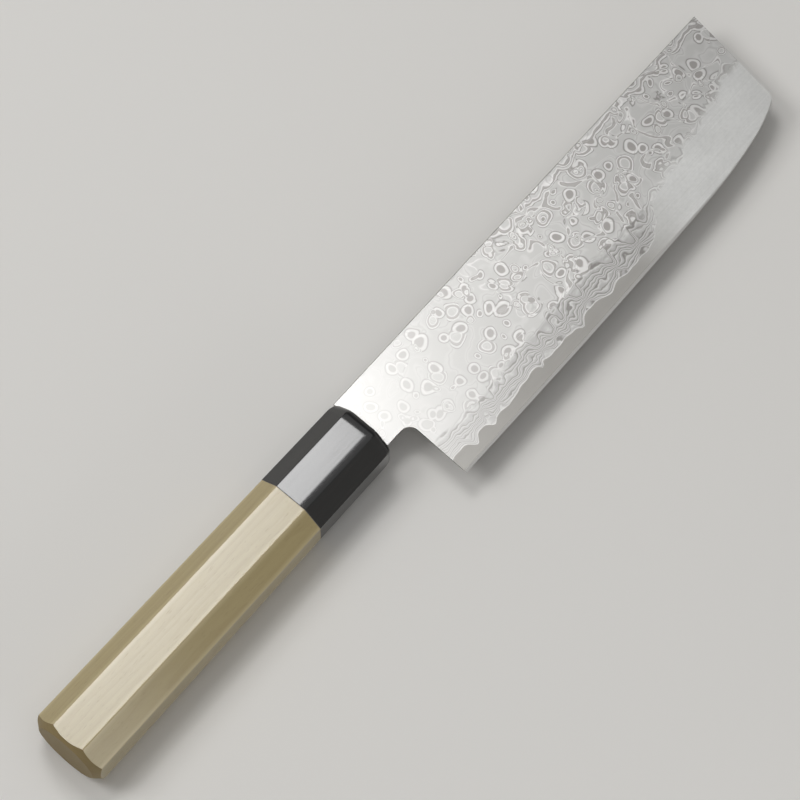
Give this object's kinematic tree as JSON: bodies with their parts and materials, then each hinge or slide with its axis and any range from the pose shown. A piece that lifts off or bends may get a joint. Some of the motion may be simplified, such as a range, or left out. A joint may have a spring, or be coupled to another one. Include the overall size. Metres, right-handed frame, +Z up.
{
  "type": "nakiri knife",
  "caption": "Japanese vegetable knife with a tall straight-edged laminated blade, layered-steel cladding, black horn ferrule and octagonal wooden handle.",
  "frame": {"origin": "middle of the knife's length and height, at the level of its lowest point as it lies on its left side", "axes": "+X from the butt to the front of the blade, +Y from the cutting edge towards the spine, +Z up through the blade's right face"},
  "size_m": [0.3146, 0.0462, 0.0246],
  "materials": {
    "core_steel": "fine satin, ground lengthwise",
    "cladding_steel": "etched layered steel, satin",
    "horn": "polished black horn",
    "handle_wood": "bare, fine sanded",
    "glue": "thin cured film",
    "resin": "cured, amber",
    "seal": "cured, dark"
  },
  "bodies": {
    "root": {"blade_core": "core_steel", "right_cladding": "cladding_steel", "left_cladding": "cladding_steel", "ferrule": "horn", "handle_wood": "handle_wood", "ferrule_glue": "glue", "tang_resin": "resin", "slot_seal": "seal"}
  },
  "joints": []
}
